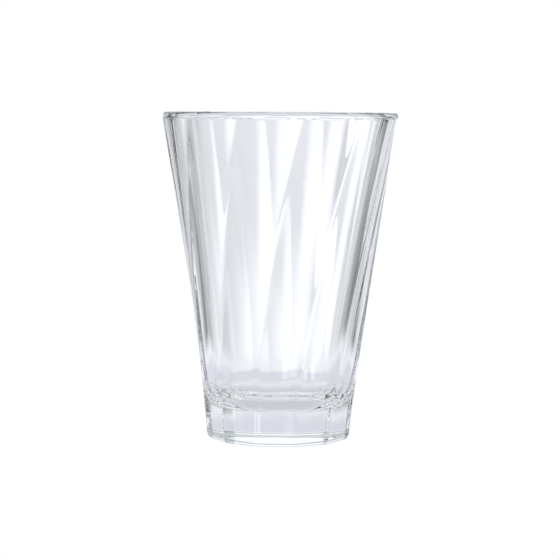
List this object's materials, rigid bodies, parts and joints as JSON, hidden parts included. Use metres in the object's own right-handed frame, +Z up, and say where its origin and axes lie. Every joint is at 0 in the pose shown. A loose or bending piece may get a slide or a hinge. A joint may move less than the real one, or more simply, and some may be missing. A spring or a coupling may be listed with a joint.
{
  "type": "faceted glass tumbler",
  "caption": "Clear pressed-glass tumbler with a tapered twisted-facet body, a thick straight-faceted foot, a shallow dome under the base, a round-bottomed cavity and a plain round lip.",
  "frame": {"origin": "centre of the face the tumbler stands on", "axes": "+Z up the axis of the cup towards the lip; -Y is the front, with the first arris of the foot 12.4 degrees from it towards +X"},
  "size_m": [0.0864, 0.0864, 0.12],
  "materials": {
    "clear_glass": "polished, clear, fire-finished pressed glass"
  },
  "bodies": {
    "root": {"tumbler": "clear_glass"}
  },
  "joints": []
}
